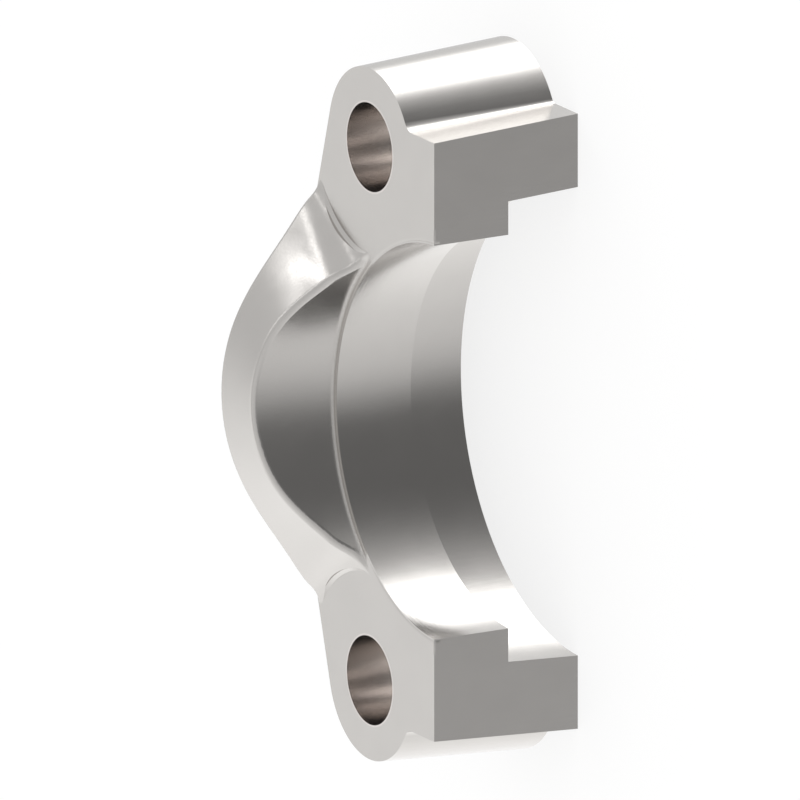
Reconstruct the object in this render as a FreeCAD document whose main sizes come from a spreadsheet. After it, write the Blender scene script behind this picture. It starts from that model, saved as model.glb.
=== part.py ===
import FreeCAD, Part
import math
import os

import Sketcher
from FreeCAD import Vector

# One half of a split flange clamp. Z is the pipe axis and points away from
# the port, X is square to the split faces and Y runs from bolt to bolt.
# The origin is on the pipe axis, in the shoulder that bears on the pipe's
# flange head. The raised arch is on the -X side.

os.makedirs("parts", exist_ok=True)
doc = FreeCAD.newDocument("flange_clamp")

# Driving sizes in millimetres and degrees
SIZES = [
    # bolt holes
    ("bolt_spacing", 52.4),
    ("bolt_offset", 13.1),
    ("bolt_hole_diameter", 8.65),
    # heights along the pipe axis
    ("ear_thickness", 15.74),
    ("total_height", 23.9),
    ("recess_depth", 7.62),
    # half-round openings
    ("neck_radius", 19.36),
    ("recess_radius", 22.64),
    ("arch_inner_radius", 20.13),
    # outline at the mounting face
    ("split_setback", 0.84),
    ("boss_radius", 8.6),
    ("back_radius", 28.64),
    ("end_flat_half_width", 30.23),
    ("end_corner_radius", 0.7),
    ("draft_angle", 3.0),
    ("arch_wall_draft_angle", 8.4),
    # front surface of the arch, given by two cross-sections
    ("crest_inner_station", 12.0),
    ("crest_inner_radius", 12.6),
    ("crest_inner_slope", 47.27),
    ("crest_inner_foot_radius", 6.26),
    ("crest_outer_station", 31.0),
    ("crest_outer_radius", 34.72),
    ("crest_outer_slope", 25.52),
    ("crest_outer_foot_radius", 2.2),
    ("crest_run_out_slope", 4.0),
    # where the arch ends, buried in the ears
    ("arch_end_station", 12.5),
    ("arch_half_width", 24.5),
    # seats for the bolt heads
    ("seat_radius", 10.84),
    ("seat_bevel", 0.3),
    # small rounds
    ("arch_inner_round", 0.61),
    ("arch_outer_round", 0.38),
    # how far the cutting shapes run past the metal
    ("overrun", 4.0),
]

sheet = doc.addObject("Spreadsheet::Sheet", "sizes")
for row, (alias, value) in enumerate(SIZES, start=1):
    sheet.set("A%d" % row, alias)
    sheet.set("B%d" % row, str(value))
    sheet.setAlias("B%d" % row, alias)
doc.recompute()

# Places that follow from the sizes, as expressions on the sheet
SEAT_Z = "(sizes.ear_thickness - sizes.recess_depth)"
TOP_Z = "(sizes.total_height - sizes.recess_depth)"
BELOW = "(-sizes.recess_depth - sizes.overrun)"
ABOVE = "(sizes.total_height - sizes.recess_depth + sizes.overrun)"
BOLT_X = "(-sizes.bolt_offset)"
BOLT_Y = "(sizes.bolt_spacing / 2)"
WIDE = "(sizes.end_flat_half_width + 2 * sizes.overrun)"
PAST_SPLIT = "(2 * sizes.overrun)"
SLANT = "tan(sizes.draft_angle * 1deg)"



def new_body(name):
    made = doc.addObject("PartDesign::Body", name)
    made.Label = name
    return made


body = new_body("arch")


def amount(expression):
    value = sheet.evalExpression(expression)
    return float(getattr(value, "Value", value))


def minus(expression):
    return "(-" + expression + ")"


def origin_plane(role):
    for feature in body.Origin.OriginFeatures:
        if feature.Role == role:
            return feature
    raise RuntimeError("no origin plane " + role)


def new_sketch(name, role, offset="0"):
    sketch = body.newObject("Sketcher::SketchObject", name)
    sketch.AttachmentSupport = [(origin_plane(role), "")]
    sketch.MapMode = "FlatFace"
    sketch.setExpression(".AttachmentOffset.Base.z", offset)
    doc.recompute()
    return sketch


def drive(sketch, kind, places, name, expression):
    value = amount(expression)
    if kind == "Angle":
        value = math.radians(value)
    index = sketch.addConstraint(Sketcher.Constraint(kind, *places, value))
    sketch.renameConstraint(index, name)
    sketch.setExpression("Constraints." + name, expression)


def drive_point(sketch, element, end, name, x, y):
    drive(sketch, "DistanceX", (-1, 1, element, end), name + "_x", x)
    drive(sketch, "DistanceY", (-1, 1, element, end), name + "_y", y)


def add_line(sketch, start, end):
    sketch.addGeometry(Part.LineSegment(
        Vector(start[0], start[1], 0), Vector(end[0], end[1], 0)), False)


def add_arc(sketch, centre, radius, start, end):
    circle = Part.Circle(Vector(centre[0], centre[1], 0), Vector(0, 0, 1), radius)
    sketch.addGeometry(Part.ArcOfCircle(circle, start, end), False)


def join(sketch, first, first_end, second, second_end, kind="Coincident"):
    sketch.addConstraint(Sketcher.Constraint(kind, first, first_end, second, second_end))


# Closed polygon whose corners are given as expressions. Every corner gets one
# constraint across and one constraint up.
def polygon_sketch(name, role, corners, offset="0"):
    sketch = new_sketch(name, role, offset)
    count = len(corners)
    places = [(amount(x), amount(y)) for x, y in corners]
    for number in range(count):
        add_line(sketch, places[number], places[(number + 1) % count])
    for number in range(count):
        join(sketch, number, 2, (number + 1) % count, 1)
    for number, (x, y) in enumerate(corners):
        before = number - 1
        if number and corners[before][0] == x:
            sketch.addConstraint(Sketcher.Constraint("Vertical", before))
        else:
            drive(sketch, "DistanceX", (-1, 1, number, 1), "x_%d" % number, x)
        if number and corners[before][1] == y:
            sketch.addConstraint(Sketcher.Constraint("Horizontal", before))
        else:
            drive(sketch, "DistanceY", (-1, 1, number, 1), "y_%d" % number, y)
    return sketch


LEAST_CUT = 0.5
MESH_STEP = 0.02
TINY = 0.001


# Volume from a fine mesh, steadier than the exact one on the arch's surfaces
def metal(shape):
    points, triangles = shape.tessellate(MESH_STEP)
    six_times = sum(points[a].dot(points[b].cross(points[c])) for a, b, c in triangles)
    return six_times / 6


# Every cut must take metal away
def check_cut(name, before):
    doc.recompute()
    taken = before - metal(body.Shape)
    print("%s takes away %.2f mm3" % (name, taken))
    if taken < LEAST_CUT:
        raise RuntimeError(name + " removes nothing")


def pocket(name, sketch, depth):
    before = metal(body.Shape)
    cut = body.newObject("PartDesign::Pocket", name)
    cut.Profile = sketch
    cut.Reversed = True
    cut.setExpression("Length", depth)
    check_cut(name, before)


def groove(name, sketch, axis):
    before = metal(body.Shape)
    cut = body.newObject("PartDesign::Groove", name)
    cut.Profile = sketch
    cut.ReferenceAxis = (sketch, [axis])
    cut.Angle = 360.0
    check_cut(name, before)


# Outline at the mounting face: two bosses joined to the round back by
# tangent sides, with a flat end beside each split face
bolt_x = amount(BOLT_X)
bolt_y = amount(BOLT_Y)
back_r = amount("sizes.back_radius")
boss_r = amount("sizes.boss_radius")
end_y = amount("sizes.end_flat_half_width")
corner_r = amount("sizes.end_corner_radius")
past_x = amount("sizes.overrun")
reach = math.hypot(bolt_x, bolt_y)
lean = math.atan2(bolt_y, -bolt_x) - math.acos((back_r - boss_r) / reach)
side_dir = (-math.cos(lean), math.sin(lean))
back_tan = (back_r * side_dir[0], back_r * side_dir[1])
boss_tan = (bolt_x + boss_r * side_dir[0], bolt_y + boss_r * side_dir[1])
corner_y = end_y + corner_r
corner_x = bolt_x + math.sqrt((boss_r + corner_r) ** 2 - (corner_y - bolt_y) ** 2)
to_corner = math.atan2(corner_y - bolt_y, corner_x - bolt_x)
side_angle = math.pi - lean
BACK, SIDE_U, BOSS_U, CORNER_U, END_U, CLOSE, END_L, CORNER_L, BOSS_L, SIDE_L = range(10)


def outline_sketch():
    sketch = new_sketch("outline", "XY_Plane", "-sizes.recess_depth")
    add_arc(sketch, (0, 0), back_r, math.pi - lean, math.pi + lean)
    add_line(sketch, back_tan, boss_tan)
    add_arc(sketch, (bolt_x, bolt_y), boss_r, to_corner, side_angle)
    add_arc(sketch, (corner_x, corner_y), corner_r, math.pi + to_corner, 1.5 * math.pi)
    add_line(sketch, (corner_x, end_y), (past_x, end_y))
    add_line(sketch, (past_x, end_y), (past_x, -end_y))
    add_line(sketch, (past_x, -end_y), (corner_x, -end_y))
    add_arc(sketch, (corner_x, -corner_y), corner_r, 0.5 * math.pi, math.pi - to_corner)
    add_arc(sketch, (bolt_x, -bolt_y), boss_r, -side_angle, -to_corner)
    add_line(sketch, (boss_tan[0], -boss_tan[1]), (back_tan[0], -back_tan[1]))
    join(sketch, BACK, 1, SIDE_U, 1, "Tangent")
    join(sketch, SIDE_U, 2, BOSS_U, 2, "Tangent")
    join(sketch, BOSS_U, 1, CORNER_U, 1, "Tangent")
    join(sketch, CORNER_U, 2, END_U, 1, "Tangent")
    join(sketch, END_U, 2, CLOSE, 1)
    join(sketch, CLOSE, 2, END_L, 1)
    join(sketch, END_L, 2, CORNER_L, 1, "Tangent")
    join(sketch, CORNER_L, 2, BOSS_L, 2, "Tangent")
    join(sketch, BOSS_L, 1, SIDE_L, 1, "Tangent")
    join(sketch, SIDE_L, 2, BACK, 2, "Tangent")
    join(sketch, BACK, 3, -1, 1)
    sketch.addConstraint(Sketcher.Constraint("Horizontal", END_U))
    sketch.addConstraint(Sketcher.Constraint("Horizontal", END_L))
    sketch.addConstraint(Sketcher.Constraint("Vertical", CLOSE))
    drive(sketch, "Radius", (BACK,), "back", "sizes.back_radius")
    drive(sketch, "Radius", (BOSS_U,), "boss_upper", "sizes.boss_radius")
    drive(sketch, "Radius", (BOSS_L,), "boss_lower", "sizes.boss_radius")
    drive(sketch, "Radius", (CORNER_U,), "corner_upper", "sizes.end_corner_radius")
    drive(sketch, "Radius", (CORNER_L,), "corner_lower", "sizes.end_corner_radius")
    drive_point(sketch, BOSS_U, 3, "bolt_upper", BOLT_X, BOLT_Y)
    drive_point(sketch, BOSS_L, 3, "bolt_lower", BOLT_X, minus(BOLT_Y))
    drive_point(sketch, END_U, 2, "end_upper", "sizes.overrun", "sizes.end_flat_half_width")
    drive(sketch, "DistanceY", (-1, 1, END_L, 1), "end_lower", "-sizes.end_flat_half_width")
    return sketch


# Names of the upright faces, without the plain one past the split
def side_faces(shape):
    names = []
    for number, face in enumerate(shape.Faces, start=1):
        u_from, u_to, v_from, v_to = face.ParameterRange
        normal = face.normalAt((u_from + u_to) / 2, (v_from + v_to) / 2)
        if abs(normal.z) < 0.01 and face.BoundBox.XMin < past_x - 0.01:
            names.append("Face%d" % number)
    return names


def bottom_face(shape):
    for number, face in enumerate(shape.Faces, start=1):
        if abs(face.normalAt(0, 0).z) > 0.99 and face.BoundBox.ZMax < 0:
            return "Face%d" % number
    raise RuntimeError("no bottom face")


# Block of the whole outline, whose outer sides lean in towards the front
def drafted_block(height):
    block = body.newObject("PartDesign::Pad", "block")
    block.Profile = outline_sketch()
    block.setExpression("Length", height)
    doc.recompute()
    sides = body.newObject("PartDesign::Draft", "drafted_sides")
    sides.Base = (block, side_faces(block.Shape))
    sides.NeutralPlane = (block, [bottom_face(block.Shape)])
    sides.setExpression("Angle", "sizes.draft_angle")
    doc.recompute()
    if sides.Shape.Volume > block.Shape.Volume:
        sides.Reversed = True
        doc.recompute()


# Arch: the block behind its end plane and between its two side planes, down
# to a depth at which all three are buried in the ears
drafted_block("sizes.total_height")
ROOT = "(sizes.ear_thickness - sizes.overrun)"
ARCH_X = "(-sizes.arch_end_station)"
ARCH_Y = "sizes.arch_half_width"
WALL_SLANT = "tan(sizes.arch_wall_draft_angle * 1deg)"
PAST_BACK = "(-sizes.back_radius - sizes.overrun)"
root = polygon_sketch("root", "XY_Plane", [
    (PAST_BACK, minus(WIDE)), (PAST_SPLIT, minus(WIDE)),
    (PAST_SPLIT, WIDE), (PAST_BACK, WIDE)], "-sizes.recess_depth")
pocket("root_cut", root, ROOT)
ends = polygon_sketch("ends", "XY_Plane", [
    (PAST_BACK, ARCH_Y), (ARCH_X, ARCH_Y),
    (ARCH_X, minus(ARCH_Y)), (PAST_BACK, minus(ARCH_Y)),
    (PAST_BACK, minus(WIDE)), (PAST_SPLIT, minus(WIDE)),
    (PAST_SPLIT, WIDE), (PAST_BACK, WIDE)], "-sizes.recess_depth")
pocket("end_cuts", ends, "sizes.total_height + sizes.overrun")


# One half of a cross-section of the arch, from its top outwards: an arc, a
# straight slope, a hollow foot and a shallow run-out below the bolt seats
def crest_points(which):
    radius = amount("sizes.crest_%s_radius" % which)
    steep = math.radians(amount("sizes.crest_%s_slope" % which))
    foot = amount("sizes.crest_%s_foot_radius" % which)
    shallow = math.radians(amount("sizes.crest_run_out_slope"))
    top = amount(TOP_Z)
    seat = amount(SEAT_Z)
    arc_end = (radius * math.sin(steep), top - radius * (1 - math.cos(steep)))
    foot_z = seat + foot * math.cos(shallow)
    fall = arc_end[1] - (foot_z - foot * math.cos(steep))
    foot_y = arc_end[0] + fall / math.tan(steep) + foot * math.sin(steep)
    half = (arc_end[0] + foot_y - foot * math.sin(steep)) / 2
    points = []
    for step in range(4):
        angle = steep * step / 3
        points.append((radius * math.sin(angle), top - radius * (1 - math.cos(angle))))
    points.append((half, arc_end[1] - fall / 2))
    for step in range(4):
        angle = steep + (shallow - steep) * step / 3
        points.append((foot_y - foot * math.sin(angle), foot_z - foot * math.cos(angle)))
    low = points[-1]
    for run in (2 * amount("sizes.overrun"), 4 * amount("sizes.overrun")):
        points.append((low[0] + run, low[1] - run * math.tan(shallow)))
    return points


def crest_knots():
    pairs = list(zip(crest_points("inner"), crest_points("outer")))
    lengths = [0.0]
    for before, after in zip(pairs, pairs[1:]):
        steps = [math.dist(before[side], after[side]) for side in (0, 1)]
        lengths.append(lengths[-1] + sum(steps) / 2)
    return [-length for length in reversed(lengths[1:])] + lengths


def crest_section(which):
    sketch = new_sketch("crest_" + which, "YZ_Plane", "-sizes.crest_%s_station" % which)
    half = crest_points(which)
    across = [(-y, z) for y, z in reversed(half[1:])] + half
    curve = Part.BSplineCurve()
    curve.interpolate(Points=[Vector(y, z, 0) for y, z in across], Parameters=crest_knots())
    sketch.addGeometry(curve, False)
    side_y, low = across[-1]
    high = amount(ABOVE)
    add_line(sketch, (side_y, low), (side_y, high))
    add_line(sketch, (side_y, high), (-side_y, high))
    add_line(sketch, (-side_y, high), (-side_y, low))
    top, rise_r, lid, rise_l = range(4)
    sketch.addConstraint(Sketcher.Constraint("Block", top))
    join(sketch, top, 2, rise_r, 1)
    join(sketch, rise_r, 2, lid, 1)
    join(sketch, lid, 2, rise_l, 1)
    join(sketch, rise_l, 2, top, 1)
    sketch.addConstraint(Sketcher.Constraint("Vertical", rise_r))
    sketch.addConstraint(Sketcher.Constraint("Vertical", rise_l))
    drive(sketch, "DistanceY", (-1, 1, lid, 1), "lid", ABOVE)
    sketch.addConstraint(Sketcher.Constraint("Horizontal", lid))
    return sketch


inner_section = crest_section("inner")
outer_section = crest_section("outer")
doc.recompute()
volume_before = metal(body.Shape)
crest = body.newObject("PartDesign::SubtractiveLoft", "crest")
crest.Profile = inner_section
crest.Sections = [outer_section]
crest.Ruled = True
check_cut("crest", volume_before)

# Inner wall of the arch, turned about the pipe axis, with the same draft
FLOOR_Z = "(-sizes.overrun)"
wall = polygon_sketch("wall", "XZ_Plane", [
    ("0", FLOOR_Z),
    ("sizes.arch_inner_radius + (%s - %s) * %s" % (FLOOR_Z, SEAT_Z, WALL_SLANT), FLOOR_Z),
    ("sizes.arch_inner_radius + (%s - %s) * %s" % (ABOVE, SEAT_Z, WALL_SLANT), ABOVE),
    ("0", ABOVE)])
groove("arch_wall", wall, "V_Axis")


# Edges between two faces, each picked by a test on the face
def edges_between(shape, first_test, second_test, edge_test=lambda edge: True):
    first = [face for face in shape.Faces if first_test(face)]
    second = [face for face in shape.Faces if second_test(face)]
    names = []
    for number, edge in enumerate(shape.Edges, start=1):
        touches = [
            any(edge.isSame(other) for face in group for other in face.Edges)
            for group in (first, second)]
        if all(touches) and edge_test(edge):
            names.append("Edge%d" % number)
    return names


def is_crest(face):
    return isinstance(face.Surface, Part.BSplineSurface)


def is_arch_wall(face):
    middle = face.CenterOfMass
    across = math.hypot(middle.x, middle.y)
    return isinstance(face.Surface, Part.Cone) and across < amount("sizes.recess_radius")


def is_outer_side(face):
    u_from, u_to, v_from, v_to = face.ParameterRange
    normal = face.normalAt((u_from + u_to) / 2, (v_from + v_to) / 2)
    slanted = abs(abs(normal.z) - math.sin(math.radians(amount("sizes.draft_angle")))) < TINY
    return slanted and not is_arch_wall(face)


def round_edges(name, edges, radius):
    if not edges:
        raise RuntimeError("no edges for " + name)
    base = body.Tip
    before = metal(body.Shape)
    feature = body.newObject("PartDesign::Fillet", name)
    feature.Base = (base, edges)
    feature.setExpression("Radius", radius)
    doc.recompute()
    change = metal(body.Shape) - before
    print("%s on %d edges changes %.3f mm3" % (name, len(edges), change))
    if "Invalid" in feature.State or "Error" in feature.State or abs(change) < LEAST_CUT:
        raise RuntimeError(name + " failed")


round_edges("inner_round", edges_between(body.Shape, is_crest, is_arch_wall),
            "sizes.arch_inner_round")
round_edges("outer_round", edges_between(body.Shape, is_crest, is_outer_side),
            "sizes.arch_outer_round")

# Round seats for the bolt heads, with a narrow bevel where they run into the
# arch
def seat_sketch(name, y_place):
    far_x = BOLT_X + " - sizes.seat_radius"
    return polygon_sketch(name, "XZ_Plane", [
        (BOLT_X, SEAT_Z), (far_x + " + sizes.seat_bevel", SEAT_Z),
        (far_x, SEAT_Z + " + sizes.seat_bevel"), (far_x, ABOVE),
        (BOLT_X, ABOVE)], minus(y_place))


groove("seat_upper", seat_sketch("seat_profile_upper", BOLT_Y), "Edge5")
groove("seat_lower", seat_sketch("seat_profile_lower", minus(BOLT_Y)), "Edge5")

# The ears, and the arch joined to them
arch = body
body = new_body("flange_half")
drafted_block("sizes.ear_thickness")

# Neck bore and recess for the flange head, turned about the pipe axis
openings = polygon_sketch("openings", "XZ_Plane", [
    ("0", BELOW),
    ("sizes.recess_radius - %s * %s" % (BELOW, SLANT), BELOW),
    ("sizes.recess_radius", "0"),
    ("sizes.neck_radius", "0"),
    ("sizes.neck_radius", ABOVE),
    ("0", ABOVE)])
groove("turned_openings", openings, "V_Axis")

joined = body.newObject("PartDesign::Boolean", "joined")
joined.setObjects([arch])
joined.Type = "Fuse"
doc.recompute()
if len(body.Shape.Solids) != 1:
    raise RuntimeError("the arch is not joined to the ears")


# Flat split faces
split = polygon_sketch("split", "XY_Plane", [
    ("-sizes.split_setback", minus(WIDE)), (PAST_SPLIT, minus(WIDE)),
    (PAST_SPLIT, WIDE), ("-sizes.split_setback", WIDE)], "-sizes.recess_depth")
pocket("split_faces", split, "sizes.total_height + sizes.overrun")

# Plain bolt holes
holes = new_sketch("bolt_circles", "XY_Plane", "-sizes.recess_depth")
for number, (name, y_place) in enumerate((("upper", BOLT_Y), ("lower", minus(BOLT_Y)))):
    circle = Part.Circle(
        Vector(bolt_x, amount(y_place), 0), Vector(0, 0, 1),
        amount("sizes.bolt_hole_diameter") / 2)
    holes.addGeometry(circle, False)
    drive(holes, "Diameter", (number,), name + "_diameter", "sizes.bolt_hole_diameter")
    drive_point(holes, number, 3, name, BOLT_X, y_place)
pocket("bolt_holes", holes, "sizes.ear_thickness + sizes.overrun")


# Nothing is written unless every object of the document is sound
for item in doc.Objects:
    if "Invalid" in item.State or "Error" in item.State:
        raise RuntimeError("%s failed: %s" % (item.Name, item.State))
if not body.Shape.isValid() or len(body.Shape.Solids) != 1:
    raise RuntimeError("flange_half is not one valid solid")
flange_half = body.Shape.Solids[0]
print("flange_half volume %.1f mm3" % flange_half.Volume)
flange_half.exportStep("parts/flange_half.step")
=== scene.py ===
import math

import bpy
from mathutils import Matrix, Vector


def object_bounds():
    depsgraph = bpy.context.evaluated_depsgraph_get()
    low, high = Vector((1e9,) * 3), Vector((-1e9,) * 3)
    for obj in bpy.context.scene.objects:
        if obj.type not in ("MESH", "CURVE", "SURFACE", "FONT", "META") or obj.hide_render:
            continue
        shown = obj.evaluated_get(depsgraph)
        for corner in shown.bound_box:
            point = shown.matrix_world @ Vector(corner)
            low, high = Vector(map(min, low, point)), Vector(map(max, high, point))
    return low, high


# The half clamp lies on its mounting face: X points through the split,
# Y along the two bolt holes and Z along the pipe, out of the bolt-head side.
# Lengths are in metres.
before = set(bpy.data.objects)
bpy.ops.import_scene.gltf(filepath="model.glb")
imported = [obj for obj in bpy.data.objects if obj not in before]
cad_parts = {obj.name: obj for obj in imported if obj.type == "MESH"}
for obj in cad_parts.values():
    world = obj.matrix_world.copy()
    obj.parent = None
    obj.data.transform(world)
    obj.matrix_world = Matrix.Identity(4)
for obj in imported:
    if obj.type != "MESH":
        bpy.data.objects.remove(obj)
cad_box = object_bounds()

CLAMP = "flange_half"

# The photograph looks from the split's side, 30 degrees round towards the
# bolt heads and 15 degrees up, with the line of the bolt holes upright
TURN_FROM_SPLIT = math.radians(30)
RISE = math.radians(15)
VIEW_WIDTH = 0.07595
VIEW_CENTRE = Vector((-0.002785, 0.004095, 0.010749))
CAMERA_DISTANCE = 0.6
CLIP_NEAR = 0.01
CLIP_FAR = 5.0

# The world lights everything evenly, and is white where it is seen
WORLD_STRENGTH = 1.0

# The lamp's reflection is the bright patch on the arch
LAMP_DIRECTION = Vector((-0.539, 0.468, 0.703))
LAMP_DISTANCE = 0.6
LAMP_SIZE = 0.04
LAMP_POWER = 0.042

# The floor lies a hair under the mounting face. Where it is seen directly,
# a share of it glows white, and the rest is matt and shows the shadow.
FLOOR_HALF_WIDTH = 2.0
FLOOR_GAP = 0.00001
FLOOR_LEVEL = 0.95
FLOOR_GLOW = 1.03
FLOOR_GLOW_SHARE = 0.75

# Only reflections see the light tent, a ball round the frame's origin.
# Heights in it are shares of its radius.
TENT_RADIUS = 1.5
TENT_SEGMENTS = 64
TENT_RINGS = 32
TENT_STRENGTH = 3.2

# Brightness of the tent round the pipe axis, against the degrees turned
# from +X towards +Y. On the side of -Y, the low and the middle part of the
# tent are the same.
TENT_SHARED = [
    (-180, 0.76), (-174, 0.80), (-167, 0.92), (-157, 1.12), (-148, 1.27),
    (-118, 1.34), (-95, 1.26), (-73, 1.08), (-50, 0.94), (-36, 0.85),
    (-27, 0.74), (-20, 0.57), (-12, 0.37), (-4, 0.21), (8, 0.19),
]
# A bright panel stands low in the tent, and fades out from PANEL_FROM up
TENT_LOW = TENT_SHARED + [
    (40, 0.18), (52, 0.21), (62, 0.29), (72, 0.43), (81, 0.60), (89, 0.82),
    (95, 1.15), (100, 1.9), (105, 3.1), (136, 3.1), (142, 1.9), (147, 1.15),
    (153, 0.93), (163, 0.83), (180, 0.76),
]
PANEL_FROM = -0.37
PANEL_TO = -0.27
TENT_MIDDLE = TENT_SHARED + [
    (36, 0.18), (46, 0.23), (56, 0.37), (64, 0.54), (71, 0.75), (80, 1.00),
    (90, 1.15), (140, 1.15), (150, 1.02), (157, 0.82), (180, 0.76),
]
# The high part takes over from HIGH_FROM up
TENT_HIGH = [
    (-180, 0.76), (-174, 0.80), (-170, 0.87), (-163, 1.00), (-150, 1.17),
    (-135, 1.20), (-118, 1.12), (-95, 0.95), (-50, 0.88), (0, 0.70),
    (60, 0.70), (100, 0.76), (180, 0.76),
]
HIGH_FROM = 0.25
HIGH_TO = 0.5
# The low part's dark gap, off the split, narrows as it climbs, on the side
# of +Y from its middle. From DARK_SIDE_FROM on, this fades out.
DARK_MIDDLE = 25
DARK_WIDE_AT = -0.483
DARK_NARROW_AT = -0.233
DARK_NARROWING = 1.55
DARK_SIDE_FROM = 110
DARK_SIDE_TO = 130
# The top is calm, and a thin bright arc runs round a part of its edge. The
# arc's stops are its heights and shares of its brightness.
TOP_LEVEL = 0.74
TOP_FROM = 0.92
TOP_TO = 0.95
ARC_LEVEL = 1.9
ARC_MIDDLE = 120
ARC_HALF_ANGLE = 48
ARC_HEIGHTS = [(0.86, 0.0), (0.88, 1.0), (0.895, 1.0), (0.915, 0.0)]

# The ledge inside the arch looks rounded into the arch's wall
LEDGE_HEIGHT = 0.00812
LEDGE_RADIUS = 0.02020
LEDGE_REACH = 0.00068
LEDGE_ROUND = 0.0006
LEDGE_SAMPLES = 6

# Where the tools went on the steel, from the sizes of the part
TURNED_RADIUS = 0.0229
BOLT_OFFSET = 0.0131
BOLT_SPACING = 0.0524
DRILLED_RADIUS = 0.0045
FACED_RADIUS = 0.0108
SPLIT_DEPTH = 0.0009

# How far apart each kind of mark is, and how many finer layers it has
RING_SPACING = 0.00022
CIRCLE_SPACING = 0.00030
STROKE_SPACING = 0.00026
STREAK_DETAIL = 3.0
GRAIN_SIZE = 0.00020
GRAIN_DETAIL = 2.0
CLOUD_SIZE = 0.0035
CLOUD_DETAIL = 3.0
# Noise seldom leaves this range
NOISE_LOW = 0.3
NOISE_HIGH = 0.7

# How deep each kind of mark is
CLOUD_DEPTH = 0.000008
GRAIN_DEPTH = 0.0000022
BORED_DEPTH = 0.0000030
DRILLED_DEPTH = 0.0000016
FACED_DEPTH = 0.0000018
SAWN_DEPTH = 0.0000007

# Satin steel, with the forging's rougher skin on the arch above the ledge
SMOOTHEST = 0.185
ROUGHEST = 0.215
SPARKLE = 0.02
ROUGHER_ABOVE = 0.0088
ROUGHER_BY = 0.03
STEEL_COLOUR = (0.574, 0.556, 0.536, 1.0)
# In the holes: a warmer tint of the drilled steel, and a paler colour that is painted
# light, brightening them
HOLE_TINT_AND_PAINTED_LIGHT = (0.680, 0.645, 0.622, 1.0)
DARKEST_TONE = 0.985
LIGHTEST_TONE = 1.015

# A full turn in degrees, and where +X lies on the ramps round the pipe
FULL_TURN = 360
AHEAD = 0.5

# Where a mix node of each type has its two inputs and its output
MIX_SOCKETS = {"RGBA": (6, 7, 2), "VECTOR": (4, 5, 1)}
# The grid on which nodes are laid out in the editor
COLUMN_WIDTH = 220
ROW_HEIGHT = 260


def grey(level):
    return (level, level, level, 1.0)


def share_of_turn(degrees):
    return degrees / FULL_TURN + AHEAD


def node(tree, kind, **values):
    made = tree.nodes.new(kind)
    for name, value in values.items():
        setattr(made, name, value)
    return made


def feed(tree, socket, value):
    if isinstance(value, bpy.types.NodeSocket):
        tree.links.new(value, socket)
    else:
        socket.default_value = value


def maths(tree, operation, *values):
    made = node(tree, "ShaderNodeMath", operation=operation)
    for socket, value in zip(made.inputs, values):
        feed(tree, socket, value)
    return made.outputs[0]


def mapped(tree, value, source, target, kind="LINEAR"):
    made = node(tree, "ShaderNodeMapRange", interpolation_type=kind)
    feed(tree, made.inputs["Value"], value)
    feed(tree, made.inputs["From Min"], source[0])
    feed(tree, made.inputs["From Max"], source[1])
    feed(tree, made.inputs["To Min"], target[0])
    feed(tree, made.inputs["To Max"], target[1])
    return made.outputs[0]


def eased(tree, value, source, target=(0.0, 1.0)):
    return mapped(tree, value, source, target, kind="SMOOTHSTEP")


def mixed(tree, kind, first, second, share):
    made = node(tree, "ShaderNodeMix", data_type=kind)
    first_at, second_at, out_at = MIX_SOCKETS[kind]
    feed(tree, made.inputs["Factor"], share)
    feed(tree, made.inputs[first_at], first)
    feed(tree, made.inputs[second_at], second)
    return made.outputs[out_at]


def ramp(tree, value, stops):
    made = node(tree, "ShaderNodeValToRGB")
    points = made.color_ramp.elements
    while len(points) < len(stops):
        points.new(0.5)
    for point, (position, level) in zip(points, stops):
        point.position = position
        point.color = grey(level)
    tree.links.new(value, made.inputs[0])
    return made.outputs[0]


def axes_of(tree, vector):
    parts = node(tree, "ShaderNodeSeparateXYZ")
    tree.links.new(vector, parts.inputs[0])
    return parts.outputs


def seen_directly(tree):
    path = node(tree, "ShaderNodeLightPath").outputs
    either = maths(tree, "MAXIMUM", path["Is Camera Ray"], path["Is Glossy Ray"])
    return maths(tree, "MAXIMUM", either, path["Is Transmission Ray"])


def lay_out(tree):
    # A node's column is its longest way to the output
    columns = {made.name: 0 for made in tree.nodes}
    for _ in tree.nodes:
        for link in tree.links:
            before, after = link.from_node.name, link.to_node.name
            columns[before] = max(columns[before], columns[after] + 1)
    filled = {}
    for made in tree.nodes:
        column = columns[made.name]
        row = filled.get(column, 0)
        filled[column] = row + 1
        made.location = (-COLUMN_WIDTH * column, -ROW_HEIGHT * row)


def empty_tree(owner):
    owner.use_nodes = True
    owner.node_tree.nodes.clear()
    return owner.node_tree


def place_camera():
    flat = math.cos(RISE)
    back = Vector((
        flat * math.cos(TURN_FROM_SPLIT),
        math.sin(RISE),
        flat * math.sin(TURN_FROM_SPLIT),
    ))
    right = Vector((0, 1, 0)).cross(back).normalized()
    up = back.cross(right)
    lens = bpy.data.cameras.new("camera")
    lens.type = "ORTHO"
    lens.ortho_scale = VIEW_WIDTH
    lens.clip_start = CLIP_NEAR
    lens.clip_end = CLIP_FAR
    camera = bpy.data.objects.new("camera", lens)
    rows = Matrix((right, up, back)).transposed().to_4x4()
    rows.translation = VIEW_CENTRE + back * CAMERA_DISTANCE
    camera.matrix_world = rows
    bpy.context.scene.collection.objects.link(camera)
    bpy.context.scene.camera = camera


def light_world():
    world = bpy.data.worlds.new("studio")
    tree = empty_tree(world)
    out = node(tree, "ShaderNodeOutputWorld")
    white = node(tree, "ShaderNodeBackground")
    white.inputs["Color"].default_value = grey(1.0)
    white.inputs["Strength"].default_value = WORLD_STRENGTH
    tree.links.new(white.outputs[0], out.inputs[0])
    lay_out(tree)
    bpy.context.scene.world = world


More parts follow.
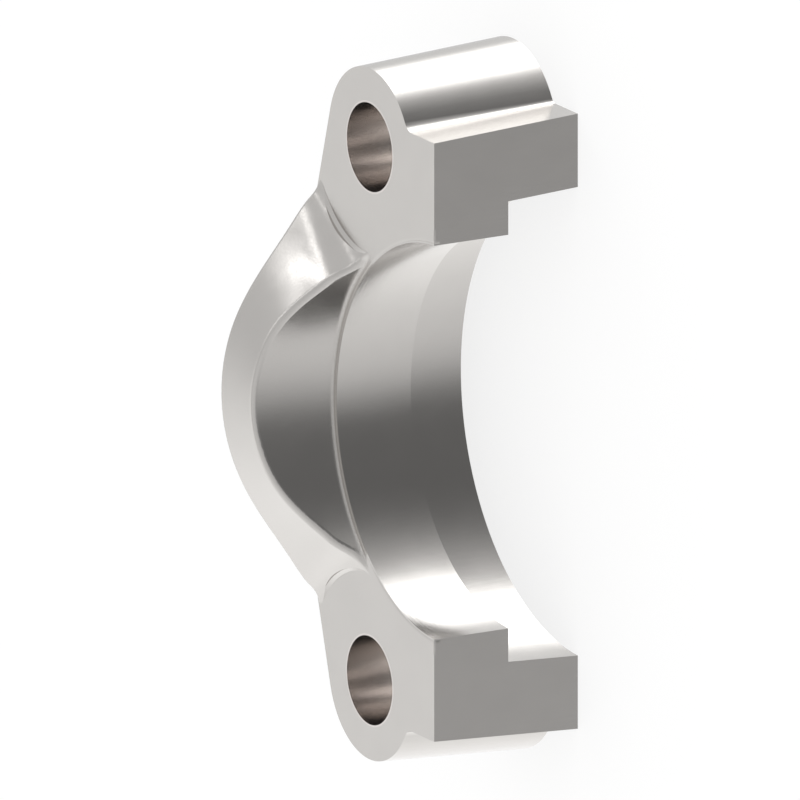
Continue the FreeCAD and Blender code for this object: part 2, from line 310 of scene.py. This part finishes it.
def narrow_gap(tree, turn, height):
    # The look-up moves on to the panel sooner, the higher the tent is
    off = maths(tree, "SUBTRACT", turn, share_of_turn(DARK_MIDDLE))
    stretch = mapped(
        tree, height, (DARK_WIDE_AT, DARK_NARROW_AT), (1.0, DARK_NARROWING)
    )
    moved = maths(tree, "MULTIPLY", off, stretch)
    gained = maths(tree, "MAXIMUM", maths(tree, "SUBTRACT", moved, off), 0.0)
    sides = (share_of_turn(DARK_SIDE_FROM), share_of_turn(DARK_SIDE_TO))
    within = eased(tree, turn, sides, (1.0, 0.0))
    return maths(tree, "ADD", maths(tree, "MULTIPLY", gained, within), turn)


def tent_light(tree):
    x, y, z = axes_of(tree, node(tree, "ShaderNodeNewGeometry").outputs["Position"])
    angle = maths(tree, "ARCTAN2", y, x)
    turn = maths(tree, "MULTIPLY_ADD", angle, 1 / math.tau, AHEAD)
    height = maths(tree, "DIVIDE", z, TENT_RADIUS)

    low, middle, high = (
        ramp(tree, look_up, [
            (share_of_turn(degrees), level / TENT_STRENGTH)
            for degrees, level in stops
        ])
        for look_up, stops in (
            (narrow_gap(tree, turn, height), TENT_LOW),
            (turn, TENT_MIDDLE),
            (turn, TENT_HIGH),
        )
    )
    over_panel = eased(tree, height, (PANEL_FROM, PANEL_TO))
    high_up = eased(tree, height, (HIGH_FROM, HIGH_TO))
    at_top = eased(tree, height, (TOP_FROM, TOP_TO))
    middle_of_arc, reach = share_of_turn(ARC_MIDDLE), ARC_HALF_ANGLE / FULL_TURN
    side = maths(tree, "COMPARE", turn, middle_of_arc, reach)
    arc = maths(tree, "MULTIPLY", ramp(tree, height, ARC_HEIGHTS), side)

    lower = mixed(tree, "RGBA", low, middle, over_panel)
    sides = mixed(tree, "RGBA", lower, high, high_up)
    calm = mixed(tree, "RGBA", sides, grey(TOP_LEVEL / TENT_STRENGTH), at_top)
    return mixed(tree, "RGBA", calm, grey(ARC_LEVEL / TENT_STRENGTH), arc)


def raise_tent():
    bpy.ops.mesh.primitive_uv_sphere_add(
        segments=TENT_SEGMENTS, ring_count=TENT_RINGS, radius=TENT_RADIUS
    )
    tent = bpy.context.object
    tent.name = "light_tent"
    tent.visible_camera = False
    tent.visible_diffuse = False
    tent.visible_transmission = False
    tent.visible_shadow = False
    material = bpy.data.materials.new("light_tent")
    tree = empty_tree(material)
    out = node(tree, "ShaderNodeOutputMaterial")
    glow = node(tree, "ShaderNodeEmission")
    glow.inputs["Strength"].default_value = TENT_STRENGTH
    tree.links.new(tent_light(tree), glow.inputs["Color"])
    tree.links.new(glow.outputs[0], out.inputs[0])
    lay_out(tree)
    tent.data.materials.append(material)


def hang_lamp():
    data = bpy.data.lights.new("soft_lamp", "AREA")
    data.shape = "DISK"
    data.size = LAMP_SIZE
    data.energy = LAMP_POWER
    lamp = bpy.data.objects.new("soft_lamp", data)
    direction = LAMP_DIRECTION.normalized()
    lamp.location = direction * LAMP_DISTANCE
    lamp.rotation_euler = direction.to_track_quat("Z", "Y").to_euler()
    lamp.visible_camera = False
    bpy.context.scene.collection.objects.link(lamp)


def lay_floor():
    low = cad_box[0][2] - FLOOR_GAP
    mesh = bpy.data.meshes.new("floor")
    corners = [
        (x * FLOOR_HALF_WIDTH, y * FLOOR_HALF_WIDTH, low)
        for x, y in ((-1, -1), (1, -1), (1, 1), (-1, 1))
    ]
    mesh.from_pydata(corners, [], [(0, 1, 2, 3)])
    floor = bpy.data.objects.new("floor", mesh)
    bpy.context.scene.collection.objects.link(floor)
    material = bpy.data.materials.new("pale_floor")
    tree = empty_tree(material)
    out = node(tree, "ShaderNodeOutputMaterial")
    mix = node(tree, "ShaderNodeMixShader")
    matt = node(tree, "ShaderNodeBsdfDiffuse")
    matt.inputs["Color"].default_value = grey(FLOOR_LEVEL)
    glow = node(tree, "ShaderNodeEmission")
    glow.inputs["Strength"].default_value = FLOOR_GLOW
    share = maths(tree, "MULTIPLY", seen_directly(tree), FLOOR_GLOW_SHARE)
    tree.links.new(share, mix.inputs[0])
    tree.links.new(matt.outputs[0], mix.inputs[1])
    tree.links.new(glow.outputs[0], mix.inputs[2])
    tree.links.new(mix.outputs[0], out.inputs[0])
    lay_out(tree)
    mesh.materials.append(material)
    floor.visible_glossy = False


def distance(tree, first, second):
    squares = [maths(tree, "MULTIPLY", side, side) for side in (first, second)]
    return maths(tree, "SQRT", maths(tree, "ADD", *squares))


def streaks(tree, along, spacing):
    made = node(tree, "ShaderNodeTexNoise", noise_dimensions="1D")
    made.inputs["Scale"].default_value = 1.0
    made.inputs["Detail"].default_value = STREAK_DETAIL
    tree.links.new(maths(tree, "MULTIPLY", along, 1 / spacing), made.inputs["W"])
    return made.outputs[0]


def grain(tree, where, size, detail):
    made = node(tree, "ShaderNodeTexNoise")
    made.inputs["Scale"].default_value = 1 / size
    made.inputs["Detail"].default_value = detail
    tree.links.new(where, made.inputs["Vector"])
    return made.outputs[0]


def pressed(tree, height, depth, share, under):
    made = node(tree, "ShaderNodeBump")
    made.inputs["Distance"].default_value = depth
    tree.links.new(height, made.inputs["Height"])
    feed(tree, made.inputs["Strength"], share)
    tree.links.new(under, made.inputs["Normal"])
    return made.outputs[0]


def soft_ledge(tree, from_pipe, z):
    rounded = node(tree, "ShaderNodeBevel", samples=LEDGE_SAMPLES)
    rounded.inputs["Radius"].default_value = LEDGE_ROUND
    crisp = node(tree, "ShaderNodeNewGeometry").outputs["Normal"]
    near_wall = maths(tree, "COMPARE", from_pipe, LEDGE_RADIUS, LEDGE_REACH)
    near_level = maths(tree, "COMPARE", z, LEDGE_HEIGHT, LEDGE_ROUND)
    share = maths(tree, "MULTIPLY", near_wall, near_level)
    return mixed(tree, "VECTOR", crisp, rounded.outputs[0], share)


def steel():
    material = bpy.data.materials.new("satin_steel")
    tree = empty_tree(material)
    out = node(tree, "ShaderNodeOutputMaterial")
    metal = node(tree, "ShaderNodeBsdfPrincipled")
    metal.inputs["Metallic"].default_value = 1.0
    tree.links.new(metal.outputs[0], out.inputs[0])
    where = node(tree, "ShaderNodeTexCoord").outputs["Object"]
    x, y, z = axes_of(tree, where)

    # Where the tools went: the turned openings, the bolt holes with their
    # spot faces, and the cut through the split
    from_pipe = distance(tree, x, y)
    inside = maths(tree, "LESS_THAN", from_pipe, TURNED_RADIUS)
    below = maths(tree, "LESS_THAN", z, LEDGE_HEIGHT)
    turned = maths(tree, "MULTIPLY", inside, below)
    from_bolt = distance(
        tree,
        maths(tree, "ADD", x, BOLT_OFFSET),
        maths(tree, "SUBTRACT", maths(tree, "ABSOLUTE", y), BOLT_SPACING / 2),
    )
    drilled = maths(tree, "LESS_THAN", from_bolt, DRILLED_RADIUS)
    faced = maths(tree, "LESS_THAN", from_bolt, FACED_RADIUS)
    split = maths(tree, "GREATER_THAN", x, -SPLIT_DEPTH)

    # Relief, from the broad unevenness of the forging to the tools' marks
    cloudy = grain(tree, where, CLOUD_SIZE, CLOUD_DETAIL)
    fine = grain(tree, where, GRAIN_SIZE, GRAIN_DETAIL)
    rings = streaks(tree, z, RING_SPACING)
    circles = streaks(tree, from_bolt, CIRCLE_SPACING)
    strokes = streaks(tree, y, STROKE_SPACING)
    normal = soft_ledge(tree, from_pipe, z)
    for height, depth, share in (
        (cloudy, CLOUD_DEPTH, 1.0),
        (fine, GRAIN_DEPTH, 1.0),
        (rings, BORED_DEPTH, turned),
        (rings, DRILLED_DEPTH, drilled),
        (circles, FACED_DEPTH, faced),
        (strokes, SAWN_DEPTH, split),
    ):
        normal = pressed(tree, height, depth, share, normal)
    tree.links.new(normal, metal.inputs["Normal"])

    # A slightly uneven sheen, duller on the arch
    noise = (NOISE_LOW, NOISE_HIGH)
    patchy = mapped(tree, cloudy, noise, (SMOOTHEST, ROUGHEST))
    sparkle = mapped(tree, fine, noise, (-SPARKLE, SPARKLE))
    uneven = maths(tree, "ADD", patchy, sparkle)
    skin = eased(tree, z, (LEDGE_HEIGHT, ROUGHER_ABOVE), (0.0, ROUGHER_BY))
    tree.links.new(maths(tree, "ADD", uneven, skin), metal.inputs["Roughness"])

    # A little lighter and darker from place to place; in the holes warmer, the drilled
    # steel's tint, and paler as painted light that brightens them
    tone = mapped(tree, cloudy, noise, (DARKEST_TONE, LIGHTEST_TONE))
    toned = node(tree, "ShaderNodeVectorMath", operation="SCALE")
    colour = mixed(tree, "RGBA", STEEL_COLOUR, HOLE_TINT_AND_PAINTED_LIGHT, drilled)
    tree.links.new(colour, toned.inputs[0])
    tree.links.new(tone, toned.inputs["Scale"])
    tree.links.new(toned.outputs[0], metal.inputs["Base Color"])
    lay_out(tree)
    return material


def finish_clamp():
    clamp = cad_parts[CLAMP]
    clamp.data.materials.clear()
    clamp.data.materials.append(steel())


place_camera()
light_world()
raise_tent()
hang_lamp()
lay_floor()
finish_clamp()

bpy.context.scene.view_settings.view_transform = "Standard"
